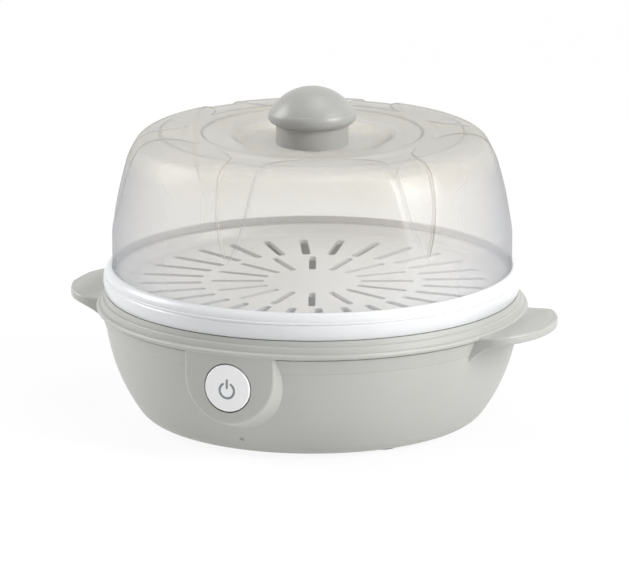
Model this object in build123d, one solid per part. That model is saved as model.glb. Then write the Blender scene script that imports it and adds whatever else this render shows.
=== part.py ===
from build123d import *
import math
import os

# Steam sterilizer for small baby items, in millimetres. The origin is on the table under
# the middle of the appliance, +Z is up, the button faces -Y and the two handles lie along X.

# Heights of the main levels above the table
UNDERSIDE_Z = 1.3
BOWL_KNEE_Z = 6.6
BOWL_TOP_Z = 48.4
GROOVE_Z = 56.4
NOSE_Z = 58.1
COLLAR_STEP_Z = 62.6
COLLAR_TOP_Z = 65.4
TRAY_FLOOR_Z = 70.0
LID_SEAT_Z = 76.0
RIM_TOP_Z = 79.4
WELL_FLOOR_Z = 142.0
LAND_Z = 147.0
STEP_Z = 148.0
KNOB_TOP_Z = 171.0

# Radii of the turned outlines
BOWL_FLOOR_R = 80.0
BOWL_KNEE_R = 88.4
BOWL_TOP_R = 104.6
NOSE_R = 109.6
COLLAR_TOP_R = 104.9
RIM_R = 106.0
LID_R = 101.4
WELL_R = 33.5
LAND_INNER_R = 42.2
LAND_OUTER_R = 55.4
LID_STEP_R = 76.6
STEM_R = 18.4
KNOB_R = 22.2
CREASE_R = 20.9

# Walls and clearances
HOUSING_WALL = 2.4
BASIN_WALL = 2.2
LID_WALL = 2.0
BODY_GAP = 0.3
SCREW_FIT = 0.05

# Button, its apron and its travel
BUTTON_Z = 40.5
BUTTON_R = 12.0
BUTTON_HOLE_R = 12.65
BUTTON_FRONT = 109.5
APRON_R = 109.0
APRON_BACK = 88.0
APRON_HALF_WIDTH = 31.2
APRON_CENTRE_Z = 45.1
APRON_DRAFT = 22.0
APRON_ROUND = 1.6
GUIDE_FRONT = 98.0
GUIDE_PLATE = 2.0
GUIDE_FLAT = 7.4
GUIDE_SCREW_X = 18.5
SWITCH_BOARD_FRONT = 93.6
LED_DROP = 9.0
SPRING_R = 5.6
SPRING_WIRE_R = 0.35
SPRING_TURNS = 6

# Handles
HANDLE_REACH = 130.0
HANDLE_TIP_R = 48.0
HANDLE_TOP_Z = 60.1
HANDLE_ROOT_Z = 58.8
HANDLE_UNDER_Z = 55.6
HANDLE_HALF_WIDTH = 34.0
HANDLE_CORNER = 15.0
HANDLE_RISE_START = 107.5
HANDLE_RISE_END = 118.0
HANDLE_SWEEP_X = 118.0
HANDLE_ROUND = 1.4
HANDLE_ROUND_X = 112.0

# Lid flutes
FLUTE_COUNT = 6
FLUTE_DEPTH = 0.9
FLUTE_TIP_Z = 101.0
FLUTE_HALF_WIDTH = 9.8
FLUTE_INNER_R = 64.4
FLUTE_FLARE = 20.0
FLUTE_FLARE_R = 20.5

# Heater stack, from the basin opening down
OPENING_R = 50.0
BASIN_LIP_Z = 36.0
GASKET = 1.2
PLATE = 1.0
PLATE_R = 55.5
CLAMP = 1.2
CLAMP_SCREW_R = 60.0
CLAMP_ANGLES = (45, 135, 225, 315)
SPREADER_R = 40.0
SPREADER_TOP_Z = 31.2
SPREADER_LOW_Z = 27.7
COIL_R = 30.0
COIL_TUBE_R = 3.2
COIL_Z = 27.0
COIL_GAP_DEG = 18.0
COIL_LEG_END_Y = 52.0
BLADE_END_Y = 63.0
THERMOSTAT_SCREW_X = 10.5
FUSE_X = -19.0
CLIP_SCREW_X = -24.0

# Underside
COVER_R = 78.9
COVER_RIM = 1.4
COVER_TOP_Z = 3.5
LIP_INNER_R = 73.0
FOOT_R = 8.0
FOOT_PLACE_R = 70.0
FOOT_ANGLES = (37.5, 142.5, 217.5, 322.5)
HOUSING_SCREW_R = 64.0
HOUSING_SCREW_ANGLES = (15, 165, 195, 345)
TOWER_TOP_Z = 14.0
VENT_COUNT = 10

# Control board on the cover
BOARD_LOW_Z = 9.0
BOARD = 1.6
BOARD_HALF_X = 28.0
BOARD_FRONT_Y = -66.0
BOARD_BACK_Y = -30.0
BOARD_POSTS = ((-24, -62), (24, -62), (-24, -34), (24, -34))

# Small round dimple low on the front
DIMPLE_Y = -91.0
DIMPLE_Z = 9.8
DIMPLE_R = 1.4

# Cord gland at the back
GLAND_Z = 16.0
GLAND_BORE_R = 3.4
GLAND_BODY_R = 5.5
GLAND_FACE_Y = 98.6

# Wires
WIRE_R = 1.1


def at(point):
    """Place of a (radius, height) point of a half-section."""
    return (point[0], 0, point[1])


def outline_edges(start, *steps):
    """Closed loop in the XZ plane: a step is a point, or (through, end) for an arc."""
    edges = []
    here = start
    for step in steps:
        if isinstance(step[0], tuple):
            through, end = step
            edges.append(ThreePointArc(at(here), at(through), at(end)))
        else:
            end = step
            edges.append(Line(at(here), at(end)))
        here = end
    edges.append(Line(at(here), at(start)))
    return edges


def turned(start, *steps):
    """Solid of revolution about Z of a half-section."""
    return revolve(make_face(outline_edges(start, *steps)), axis=Axis.Z)


def inset_arc(first, through, last, depth):
    """The three points of an arc, each moved nearer to its centre by depth."""
    (ax, ay), (bx, by), (cx, cy) = first, through, last
    spread = 2 * (ax * (by - cy) + bx * (cy - ay) + cx * (ay - by))
    a2 = ax * ax + ay * ay
    b2 = bx * bx + by * by
    c2 = cx * cx + cy * cy
    mx = (a2 * (by - cy) + b2 * (cy - ay) + c2 * (ay - by)) / spread
    my = (a2 * (cx - bx) + b2 * (ax - cx) + c2 * (bx - ax)) / spread
    radius = math.hypot(ax - mx, ay - my)
    scale = (radius - depth) / radius
    return [(mx + (x - mx) * scale, my + (y - my) * scale) for x, y in (first, through, last)]


def cap_arc(apex_z, edge_r, edge_z):
    """Arc step from the axis out to the edge of a spherical cap."""
    rise = apex_z - edge_z
    radius = (edge_r ** 2 + rise ** 2) / (2 * rise)
    half = math.asin(edge_r / radius) / 2
    through = (radius * math.sin(half), apex_z - radius * (1 - math.cos(half)))
    return through, (edge_r, edge_z)


def rod(radius, low, high, x=0, y=0):
    """Upright round bar from low to high."""
    bar = Cylinder(radius, high - low, align=(Align.CENTER, Align.CENTER, Align.MIN))
    return Pos(x, y, low) * bar


def ring(outer, inner, low, high):
    """Flat ring about Z."""
    return rod(outer, low, high) - rod(inner, low, high)


def block(x0, x1, y0, y1, z0, z1):
    """Rectangular bar between two corners."""
    return Pos(x0, y0, z0) * Box(x1 - x0, y1 - y0, z1 - z0, align=(Align.MIN,) * 3)


def backwards(shape, x, y, z):
    """A shape drawn upwards, laid so that its top points to +Y, with its foot at the point."""
    return Pos(x, y, z) * Rot(-90, 0, 0) * shape


def facing_front(shape):
    """A shape drawn upwards, laid on the button's axis: its height becomes the distance to -Y."""
    return Pos(0, 0, BUTTON_Z) * Rot(90, 0, 0) * shape


def polar(radius, degrees):
    """Point on a circle about Z."""
    return radius * math.cos(math.radians(degrees)), radius * math.sin(math.radians(degrees))


def around(shape, angles):
    """Copies of a shape turned about Z."""
    return [Rot(0, 0, angle) * shape for angle in angles]


def screw(head_r, head_h, shaft_r, length):
    """Pan-head screw pointing up: its head hangs below z = 0 and has a cross recess."""
    arm = head_r * 0.62
    slot = head_r * 0.14
    depth = head_h * 0.6
    head = rod(head_r, -head_h, 0)
    head = fillet(head.edges().group_by(Axis.Z)[0], head_h * 0.35)
    shaft = rod(shaft_r, 0, length)
    shaft = chamfer(shaft.edges().group_by(Axis.Z)[-1], shaft_r * 0.4)
    cross = block(-arm, arm, -slot, slot, -head_h, depth - head_h)
    return head + shaft - cross - Rot(0, 0, 90) * cross


# Outer housing: bowl, stepped collar, handles and button apron in one moulding

BOWL_CORNER = ((BOWL_FLOOR_R, UNDERSIDE_Z), (84.7, UNDERSIDE_Z + 1.8), (BOWL_KNEE_R, BOWL_KNEE_Z))
BOWL_BELLY = ((BOWL_KNEE_R, BOWL_KNEE_Z), (99.2, 26.9), (BOWL_TOP_R, BOWL_TOP_Z))
LIP_LOW_Z = UNDERSIDE_Z + COVER_RIM + 0.1
LIP_HIGH_Z = LIP_LOW_Z + 2.0
LEDGE_R = 101.0
LEDGE_Z = 62.9
LEDGE_LOW_Z = 60.7
COLLAR_INNER_R = 102.9


APRON_INSET = HOUSING_WALL / math.cos(math.radians(APRON_DRAFT))


def housing_outside():
    """Bowl, band, shadow groove, nose and two bands that step in towards the tray."""
    return turned(
        (0, UNDERSIDE_Z),
        BOWL_CORNER[0],
        BOWL_CORNER[1:],
        BOWL_BELLY[1:],
        (BOWL_TOP_R + 0.4, BOWL_TOP_Z + 0.4),
        (107.4, GROOVE_Z - 0.5),
        (106.9, GROOVE_Z),
        (108.2, GROOVE_Z + 0.3),
        ((NOSE_R, NOSE_Z), (108.4, NOSE_Z + 1.3)),
        (107.6, NOSE_Z + 1.4),
        (106.9, COLLAR_STEP_Z - 0.4),
        (106.5, COLLAR_STEP_Z),
        (105.6, COLLAR_STEP_Z + 0.2),
        (COLLAR_TOP_R, COLLAR_TOP_Z),
        (0, COLLAR_TOP_Z),
    )


def housing_inside():
    """The hollow of the housing, with the ledge that carries the basin and the lip over the cover."""
    belly = inset_arc(*BOWL_BELLY, HOUSING_WALL)
    return turned(
        (0, LIP_HIGH_Z),
        (belly[0][0] - 2.5, LIP_HIGH_Z),
        belly[0],
        tuple(belly[1:]),
        (103.0, BOWL_TOP_Z + 1.6),
        (104.6, GROOVE_Z),
        (105.9, NOSE_Z + 0.2),
        (105.2, NOSE_Z + 1.4),
        (104.6, LEDGE_LOW_Z),
        (LEDGE_R, LEDGE_LOW_Z),
        (LEDGE_R, LEDGE_Z),
        (COLLAR_INNER_R, LEDGE_Z),
        (COLLAR_INNER_R, COLLAR_TOP_Z + 1),
        (0, COLLAR_TOP_Z + 1),
    )


def apron(radius, inset, top_z):
    """U-shaped boss for the button: drafted sides down to a half cone, face on a cylinder."""
    half = APRON_HALF_WIDTH - inset
    spare_z = top_z + half
    left = Line((-half, 0, spare_z), (-half, 0, APRON_CENTRE_Z))
    bottom = ThreePointArc(left @ 1, (0, 0, APRON_CENTRE_Z - half), (half, 0, APRON_CENTRE_Z))
    right = Line((half, 0, APRON_CENTRE_Z), (half, 0, spare_z))
    face = make_face([left, bottom, right, Line(right @ 1, left @ 0)])
    reach = APRON_R + 1 - APRON_BACK
    boss = Pos(0, -APRON_BACK, 0) * extrude(face, amount=reach, dir=(0, -1, 0), taper=APRON_DRAFT)
    return boss & rod(radius, 0, top_z)


def is_apron_rim(edge):
    """True for the U-shaped edge of the apron's face, and not for its level top."""
    middle = edge @ 0.5
    on_face = abs(math.hypot(middle.X, middle.Y) - APRON_R) < 0.01
    return on_face and middle.Z < NOSE_Z - 0.5


def apron_outside():
    """The boss with its front edge rounded where it stands off the bowl."""
    boss = apron(APRON_R, 0, NOSE_Z)
    rim = [edge for edge in boss.edges() if is_apron_rim(edge)]
    return fillet(rim, APRON_ROUND)


def handle():
    """Tongue with straight sides and a round tip that swells from the nose and curves down into the bowl."""
    inner_x = BOWL_FLOOR_R + 10
    half = HANDLE_HALF_WIDTH
    corner_x = HANDLE_REACH - HANDLE_TIP_R + math.sqrt(HANDLE_TIP_R ** 2 - half ** 2)
    tip = ThreePointArc((corner_x, -half), (HANDLE_REACH, 0), (corner_x, half))
    sides = Polyline((corner_x, half), (inner_x, half), (inner_x, -half), (corner_x, -half))
    plan = make_face([*tip.edges(), *sides.edges()])
    plan = fillet(plan.vertices().group_by(Axis.X)[-1], HANDLE_CORNER)
    profile = outline_edges(
        (inner_x, HANDLE_ROOT_Z),
        (HANDLE_RISE_START, HANDLE_ROOT_Z),
        ((HANDLE_RISE_START + 4.4, HANDLE_ROOT_Z + 0.3), (HANDLE_RISE_END, HANDLE_TOP_Z)),
        (HANDLE_REACH + 1, HANDLE_TOP_Z),
        (HANDLE_REACH + 1, HANDLE_UNDER_Z),
        (HANDLE_SWEEP_X, HANDLE_UNDER_Z - 0.3),
        ((110.0, 53.2), (100.0, 46.6)),
        (inner_x, 38.0),
    )
    side = Pos(0, half + 1, 0) * extrude(make_face(profile), amount=2 * half + 2, dir=(0, -1, 0))
    tab = side & (Pos(0, 0, 30) * extrude(plan, amount=40, dir=(0, 0, 1)))
    rim = [edge for edge in tab.edges() if (edge @ 0.5).X > HANDLE_ROUND_X and abs((edge % 0.5).Z) < 0.5]
    return fillet(rim, HANDLE_ROUND)


def guide_bosses():
    """Two round bosses behind the apron that carry the button guide."""
    length = 9.4
    boss = rod(2.8, 0, length) - rod(1.25, 1.5, length)
    bosses = []
    for side in (-1, 1):
        placed = backwards(boss, side * GUIDE_SCREW_X, -GUIDE_FRONT - length, BUTTON_Z)
        bosses.append(placed & rod(APRON_R - 1, 0, COLLAR_TOP_Z))
    return bosses


def outer_housing():
    """Shell with handles, button apron, gland boss, dimple and the ledge inside."""
    gland_boss = backwards(rod(8.5, 0, 14), 0, GLAND_FACE_Y - 14, GLAND_Z)
    gland_hole = backwards(rod(GLAND_BODY_R + SCREW_FIT, 0, 40), 0, 75, GLAND_Z)
    button_hole = backwards(rod(BUTTON_HOLE_R, 0, 30), 0, -120, BUTTON_Z)
    dimple = Pos(0, DIMPLE_Y, DIMPLE_Z) * Sphere(DIMPLE_R)
    solid = housing_outside() + apron_outside() + around(handle(), (0, 180)) + gland_boss
    hollow = housing_inside() + apron(APRON_R - HOUSING_WALL, APRON_INSET, NOSE_Z - 2.5)
    shell = solid - (hollow - gland_boss)
    shell = shell - rod(LIP_INNER_R, 0, LIP_HIGH_Z + 1) - rod(COVER_R + BODY_GAP, 0, LIP_LOW_Z)
    return shell - button_hole - gland_hole - dimple + guide_bosses()


# Water basin: drops into the collar and slopes to the heating plate

def water_basin():
    """Basin with its rim on the housing's ledge, a lip over the plate, and screw bosses below."""
    basin = turned(
        (98.2, COLLAR_TOP_Z),
        (96.6, 53.0),
        ((95.7, 50.9), (93.5, 49.8)),
        (57.5, 38.4),
        (OPENING_R, BASIN_LIP_Z + BASIN_WALL),
        (OPENING_R, BASIN_LIP_Z),
        (57.5, BASIN_LIP_Z),
        (93.9, 47.5),
        ((97.3, 49.4), (98.8, 52.8)),
        (100.4, LEDGE_Z),
        (COLLAR_INNER_R - BODY_GAP, LEDGE_Z),
        (COLLAR_INNER_R - BODY_GAP, COLLAR_TOP_Z),
    )
    clamp_boss_z = BASIN_LIP_Z - GASKET - PLATE
    clamp_boss = rod(4.0, clamp_boss_z, 38.4, CLAMP_SCREW_R)
    clamp_hole = rod(1.2 + SCREW_FIT, clamp_boss_z, 38.0, CLAMP_SCREW_R)
    long_boss = rod(4.2, TOWER_TOP_Z, 39.4, HOUSING_SCREW_R)
    long_hole = rod(1.5 + SCREW_FIT, TOWER_TOP_Z, 32.0, HOUSING_SCREW_R)
    basin = basin + around(clamp_boss, CLAMP_ANGLES) + around(long_boss, HOUSING_SCREW_ANGLES)
    return basin - around(clamp_hole, CLAMP_ANGLES) - around(long_hole, HOUSING_SCREW_ANGLES)


# Heater stack under the basin

PLATE_TOP_Z = BASIN_LIP_Z - GASKET
PLATE_LOW_Z = PLATE_TOP_Z - PLATE
CLAMP_LOW_Z = PLATE_LOW_Z - CLAMP


def heating_plate():
    """Pressed steel dish: the water boils on it."""
    dish_top_z = SPREADER_TOP_Z + PLATE
    return turned(
        (0, dish_top_z),
        (43.5, dish_top_z),
        (46.5, PLATE_TOP_Z),
        (PLATE_R, PLATE_TOP_Z),
        (PLATE_R, PLATE_LOW_Z),
        (47.0, PLATE_LOW_Z),
        (44.0, SPREADER_TOP_Z),
        (0, SPREADER_TOP_Z),
    )


def plate_gasket():
    """Flat silicone ring between the basin's lip and the plate's flange."""
    return ring(PLATE_R, OPENING_R + 0.6, PLATE_TOP_Z, BASIN_LIP_Z)


def clamp_ring():
    """Steel ring with four ears that presses the plate up against the gasket."""
    body = ring(57.0, 48.5, CLAMP_LOW_Z, PLATE_LOW_Z)
    ear = rod(5.0, CLAMP_LOW_Z, PLATE_LOW_Z, CLAMP_SCREW_R)
    ear = ear + block(52, CLAMP_SCREW_R, -5, 5, CLAMP_LOW_Z, PLATE_LOW_Z)
    hole = rod(1.5, 0, PLATE_TOP_Z, CLAMP_SCREW_R)
    return body + around(ear, CLAMP_ANGLES) - around(hole, CLAMP_ANGLES)


def clamp_screws():
    """Four screws up through the clamp ring's ears."""
    one = Pos(CLAMP_SCREW_R, 0, CLAMP_LOW_Z) * screw(2.6, 1.8, 1.2, 5.0)
    return Compound(around(one, CLAMP_ANGLES))


def coil(tube_r):
    """Round tube bent to an open circle, with two legs to the back."""
    path = CenterArc((0, 0, 0), COIL_R, 90 + COIL_GAP_DEG, 360 - 2 * COIL_GAP_DEG)
    section = Plane(origin=path @ 0, z_dir=path % 0) * Circle(tube_r)
    body = sweep(section, path=path)
    for end in (path @ 0, path @ 1):
        leg = backwards(rod(tube_r, 0, COIL_LEG_END_Y - end.Y), end.X, end.Y, 0)
        body = body + Pos(end.X, end.Y, 0) * Sphere(tube_r) + leg
    return Pos(0, 0, COIL_Z) * body


def heater_coil():
    """The tubular heating element."""
    return coil(COIL_TUBE_R)


def heat_spreader():
    """Aluminium disc under the plate, grooved for the coil and drilled for small screws."""
    disc = rod(SPREADER_R, SPREADER_LOW_Z, SPREADER_TOP_Z) - coil(COIL_TUBE_R + SCREW_FIT)
    for x in (-THERMOSTAT_SCREW_X, THERMOSTAT_SCREW_X, CLIP_SCREW_X):
        disc = disc - rod(1.0 + SCREW_FIT, SPREADER_LOW_Z, SPREADER_TOP_Z - 0.7, x)
    return disc


def heater_terminals():
    """Ceramic bead and blade on each leg of the coil."""
    x = COIL_R * math.sin(math.radians(COIL_GAP_DEG))
    terminals = []
    for side in (-1, 1):
        bead = backwards(rod(COIL_TUBE_R, 0, 3.5), side * x, COIL_LEG_END_Y, COIL_Z)
        blade = block(side * x - 0.4, side * x + 0.4, COIL_LEG_END_Y + 3, BLADE_END_Y, COIL_Z - 3, COIL_Z + 3)
        terminals.append(bead + blade)
    return Compound(terminals)


def thermostat():
    """Snap-disc thermostat with a flange that is screwed to the spreader."""
    flange_low_z = SPREADER_LOW_Z - 0.8
    body = rod(8.0, SPREADER_LOW_Z - 5, SPREADER_LOW_Z)
    body = body + block(-13.5, 13.5, -4, 4, flange_low_z, SPREADER_LOW_Z)
    for side in (-1, 1):
        body = body - rod(1.2, 0, SPREADER_TOP_Z, side * THERMOSTAT_SCREW_X)
        body = body + block(side * 4 - 0.4, side * 4 + 0.4, -3, 3, SPREADER_LOW_Z - 12, SPREADER_LOW_Z - 5)
    return body


def thermal_fuse():
    """One-shot cut-off lying under the spreader."""
    return backwards(fillet(rod(1.9, 0, 11).edges(), 0.5), FUSE_X, -5.5, SPREADER_LOW_Z - 1.95)


def fuse_clip():
    """Strap over the fuse with one foot for a screw."""
    saddle = rod(2.7, 0, 5) + block(-2.7, 2.7, -2.0, 0, 0, 5)
    saddle = backwards(saddle, FUSE_X, -2.5, SPREADER_LOW_Z - 1.95)
    foot = block(CLIP_SCREW_X - 2.4, FUSE_X, -2.5, 2.5, SPREADER_LOW_Z - 0.8, SPREADER_LOW_Z)
    room = backwards(rod(2.0, 0, 20), FUSE_X, -10, SPREADER_LOW_Z - 1.95)
    above = block(FUSE_X - 2.0, FUSE_X + 2.0, -10, 10, SPREADER_LOW_Z - 1.95, SPREADER_LOW_Z)
    strap = saddle + foot - room - above - rod(1.2, 0, SPREADER_TOP_Z, CLIP_SCREW_X)
    return strap - block(FUSE_X - 9, FUSE_X + 9, -9, 9, SPREADER_LOW_Z, SPREADER_TOP_Z)


def spreader_screws():
    """Three small screws for the thermostat and the fuse clip."""
    one = Pos(0, 0, SPREADER_LOW_Z - 0.8) * screw(2.0, 1.4, 1.0, 3.4)
    return Compound([Pos(x, 0, 0) * one for x in (-THERMOSTAT_SCREW_X, THERMOSTAT_SCREW_X, CLIP_SCREW_X)])


# Bottom cover, feet and housing screws

def bottom_cover():
    """Disc under the lip, with screw towers, board posts, foot pockets and vent slots."""
    cover = rod(COVER_R, UNDERSIDE_Z, UNDERSIDE_Z + COVER_RIM)
    cover = cover + rod(LIP_INNER_R - BODY_GAP, UNDERSIDE_Z, COVER_TOP_Z)
    tower = rod(4.2, UNDERSIDE_Z, TOWER_TOP_Z, HOUSING_SCREW_R)
    head_hole = rod(3.4, 0, 9.0, HOUSING_SCREW_R)
    shaft_hole = rod(1.7, 0, TOWER_TOP_Z, HOUSING_SCREW_R)
    foot_pocket = rod(3.05, 0, UNDERSIDE_Z + 0.9, FOOT_PLACE_R)
    vent = block(20, 32, -1, 1, 0, COVER_TOP_Z)
    vent = vent + rod(1, 0, COVER_TOP_Z, 20) + rod(1, 0, COVER_TOP_Z, 32)
    vent_angles = [360 * i / VENT_COUNT for i in range(VENT_COUNT)]
    cover = cover + around(tower, HOUSING_SCREW_ANGLES)
    cover = cover + [rod(2.6, COVER_TOP_Z - 1, BOARD_LOW_Z, x, y) for x, y in BOARD_POSTS]
    cover = cover - [rod(1.05, COVER_TOP_Z, BOARD_LOW_Z, x, y) for x, y in BOARD_POSTS]
    cover = cover - around(head_hole, HOUSING_SCREW_ANGLES) - around(shaft_hole, HOUSING_SCREW_ANGLES)
    return cover - around(foot_pocket, FOOT_ANGLES) - around(vent, vent_angles)


def housing_screws():
    """Four long screws up through the cover's towers into the basin's bosses."""
    one = Pos(HOUSING_SCREW_R, 0, 9.0) * screw(3.1, 2.2, 1.5, 22.0)
    return Compound(around(one, HOUSING_SCREW_ANGLES))


def rubber_feet():
    """Four round feet with a stub pressed into the cover."""
    foot = turned(
        (0, 0),
        (FOOT_R - 0.6, 0),
        ((FOOT_R - 0.2, 0.2), (FOOT_R, 0.6)),
        (FOOT_R, UNDERSIDE_Z),
        (3.0, UNDERSIDE_Z),
        (3.0, UNDERSIDE_Z + 0.8),
        (0, UNDERSIDE_Z + 0.8),
    )
    return Compound(around(Pos(FOOT_PLACE_R, 0, 0) * foot, FOOT_ANGLES))


# Control board and what is soldered to it

BOARD_TOP_Z = BOARD_LOW_Z + BOARD


def control_board():
    """Circuit board on four posts."""
    board = block(-BOARD_HALF_X, BOARD_HALF_X, BOARD_FRONT_Y, BOARD_BACK_Y, BOARD_LOW_Z, BOARD_TOP_Z)
    board = fillet(board.edges().filter_by(Axis.Z), 2.0)
    return board - [rod(1.2, 0, BOARD_TOP_Z, x, y) for x, y in BOARD_POSTS]


def board_screws():
    """Four screws that point down into the posts."""
    one = Rot(180, 0, 0) * screw(2.1, 1.5, 1.0, 6.0)
    return Compound([Pos(x, y, BOARD_TOP_Z) * one for x, y in BOARD_POSTS])


def relay():
    """Sealed relay that switches the heater."""
    case = block(-20, -1, -60, -45, BOARD_TOP_Z, BOARD_TOP_Z + 11.5)
    return fillet(case.edges().filter_by(Axis.Z), 0.8)


def power_module():
    """Small potted supply for the board."""
    case = block(3, 21, -56, -44, BOARD_TOP_Z, BOARD_TOP_Z + 9.0)
    return chamfer(case.edges().group_by(Axis.Z)[-1], 0.6)


def smoothing_capacitor():
    """Round capacitor with a grooved can."""
    can = rod(4.0, BOARD_TOP_Z, BOARD_TOP_Z + 10.5, 9, -37)
    return fillet(can.edges().group_by(Axis.Z)[-1], 0.5)


def board_connector():
    """Header for the heater and supply wires, at the board's back edge."""
    shell = block(-16, 0, -36, -31, BOARD_TOP_Z, BOARD_TOP_Z + 7)
    return shell - block(-15, -1, -35, -32, BOARD_TOP_Z + 2, BOARD_TOP_Z + 7)


def terminal_block():
    """Two-way block near the gland where the mains cord ends."""
    body = block(-10, 10, 58, 70, COVER_TOP_Z, 16)
    for x in (-5, 5):
        body = body - backwards(rod(2.0, 0, 5), x, 65.5, 11)
        body = body - rod(1.8, 14, 16, x, 61.5)
    return body


# Power button, its guide, spring and switch

CAP_DOME_R = 11.4
CAP_DOME_DROP = 0.45
CAP_FLANGE = 105.2
CAP_BACK = 104.0
CAP_INSIDE = 107.3
PLUNGER_TIP = 99.1
SIGN_FLOOR = BUTTON_FRONT - 0.6


def button_cap_blank():
    """Slightly domed round cap with a retaining flange and a plunger behind it."""
    return turned(
        (0, BUTTON_FRONT),
        cap_arc(BUTTON_FRONT, CAP_DOME_R, BUTTON_FRONT - CAP_DOME_DROP),
        ((11.85, BUTTON_FRONT - 0.68), (BUTTON_R, BUTTON_FRONT - 1.1)),
        (BUTTON_R, CAP_FLANGE),
        (13.8, CAP_FLANGE),
        (13.8, CAP_BACK),
        (10.4, CAP_BACK),
        (10.4, CAP_INSIDE),
        (2.4, CAP_INSIDE),
        (2.4, PLUNGER_TIP),
        (0, PLUNGER_TIP),
    )


def symbol_blank():
    """Generic on/off sign, broken ring and bar, cut 0.4 mm deep into the cap's face."""
    drop = -1.1
    ring_r = 3.85
    stroke = 0.6
    gap = 33
    arc = CenterArc((0, drop), ring_r, 90 + gap, 360 - 2 * gap)
    mark = Pos(0, drop) * (Circle(ring_r + stroke) - Circle(ring_r - stroke))
    throat = Pos(0, drop + 4) * Rectangle(2 * ring_r * math.sin(math.radians(gap)), 8)
    mark = mark - throat
    mark = mark + [Pos((arc @ t).X, (arc @ t).Y) * Circle(stroke) for t in (0, 1)]
    mark = mark + Pos(0, drop + 3.4) * SlotOverall(5.0, 2 * stroke, rotation=90)
    through = Pos(0, 0, 100) * extrude(mark, amount=20)
    dome_edge = cap_arc(BUTTON_FRONT, CAP_DOME_R, BUTTON_FRONT - CAP_DOME_DROP)
    skin = turned((0, BUTTON_FRONT), dome_edge, (CAP_DOME_R, SIGN_FLOOR), (0, SIGN_FLOOR))
    return through & skin


def button_cap():
    """Cap with the pocket for its sign."""
    return facing_front(button_cap_blank() - symbol_blank())


def power_symbol():
    """The two pieces of the sign, flush with the cap."""
    return facing_front(symbol_blank())


def button_spring():
    """Coil spring between the cap and its guide."""
    low = GUIDE_FRONT + SPRING_WIRE_R + 0.05
    height = CAP_INSIDE - GUIDE_FRONT - 2 * SPRING_WIRE_R - 0.1
    path = Helix(pitch=height / SPRING_TURNS, height=height, radius=SPRING_R)
    section = Plane(origin=path @ 0, z_dir=path % 0) * Circle(SPRING_WIRE_R)
    return facing_front(Pos(0, 0, low) * sweep(section, path=path, is_frenet=True))


def button_guide():
    """Plate behind the cap with a collar for the spring, screwed to the apron's bosses."""
    back = GUIDE_FRONT - GUIDE_PLATE
    plate = rod(10.8, back, GUIDE_FRONT) - block(-11, 11, GUIDE_FLAT, 11, back, GUIDE_FRONT)
    plate = plate + block(-21.3, 21.3, -3.5, 3.5, back, GUIDE_FRONT)
    plate = plate + block(-4, 4, -12.4, 0, back, GUIDE_FRONT)
    plate = plate + ring(7.2, 6.3, back, GUIDE_FRONT + 2.5)
    plate = plate + [rod(1.8, SWITCH_BOARD_FRONT, back, side * 7, 0) for side in (-1, 1)]
    plate = plate - rod(4.7, 0, GUIDE_FRONT) - rod(1.7, 0, GUIDE_FRONT, 0, -LED_DROP)
    plate = plate - [rod(1.4, 0, GUIDE_FRONT, side * GUIDE_SCREW_X, 0) for side in (-1, 1)]
    plate = plate - [rod(0.85, 0, back + 1, side * 7, 0) for side in (-1, 1)]
    return facing_front(plate)


def guide_screws():
    """Two screws through the guide into the apron's bosses."""
    one = screw(2.3, 1.5, 1.2, 7.5)
    back = GUIDE_FRONT - GUIDE_PLATE
    return Compound([facing_front(Pos(side * GUIDE_SCREW_X, 0, back) * one) for side in (-1, 1)])


def switch_board():
    """Small board that carries the switch and the lamp."""
    back = SWITCH_BOARD_FRONT - BOARD
    board = block(-9, 9, -11.5, 5, back, SWITCH_BOARD_FRONT)
    board = board - [rod(1.0, 0, SWITCH_BOARD_FRONT, side * 7, 0) for side in (-1, 1)]
    return facing_front(board)


def switch_board_screws():
    """Two screws that hold the small board to the guide."""
    one = screw(1.6, 1.1, 0.8, 4.0)
    back = SWITCH_BOARD_FRONT - BOARD
    return Compound([facing_front(Pos(side * 7, 0, back) * one) for side in (-1, 1)])


def tact_switch():
    """Square push switch behind the plunger."""
    body = block(-3, 3, -3, 3, SWITCH_BOARD_FRONT, SWITCH_BOARD_FRONT + 3.5)
    return facing_front(body + rod(1.7, SWITCH_BOARD_FRONT, SWITCH_BOARD_FRONT + 3.7))


def indicator_led():
    """Round lamp that lights the gap round the cap."""
    top = SWITCH_BOARD_FRONT + 5.2
    lamp = rod(1.5, SWITCH_BOARD_FRONT, top, 0, -LED_DROP)
    return facing_front(fillet(lamp.edges().group_by(Axis.Z)[-1], 1.4))


# Cord gland and inner wiring

def cord_gland():
    """Rubber gland in the back wall, with an open bore for the mains cord."""
    inner_y = GLAND_FACE_Y - 14
    body = rod(GLAND_BODY_R, inner_y - 2, GLAND_FACE_Y + 2)
    body = body + rod(7.5, inner_y - 2, inner_y) + rod(7.5, GLAND_FACE_Y, GLAND_FACE_Y + 2)
    body = body - rod(GLAND_BORE_R, inner_y - 2, GLAND_FACE_Y + 2)
    return backwards(body, 0, 0, GLAND_Z)


def wire(radius, bend, *points):
    """Round wire along straight runs joined by arcs."""
    path = FilletPolyline(*points, radius=bend)
    section = Plane(origin=path @ 0, z_dir=path % 0) * Circle(radius)
    return sweep(section, path=path)


def supply_leads():
    """Two wires from the terminal block forward to the board's connector."""
    z = COVER_TOP_Z + 4
    top = BOARD_TOP_Z + 3
    pair = []
    for side in (-1, 1):
        x = -8 + side * 3
        start = (side * 5, 58, z)
        pair.append(wire(WIRE_R, 5, start, (side * 5, 40, z), (x, 10, z), (x, -20, top), (x, -31, top)))
    return Compound(pair)


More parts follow.
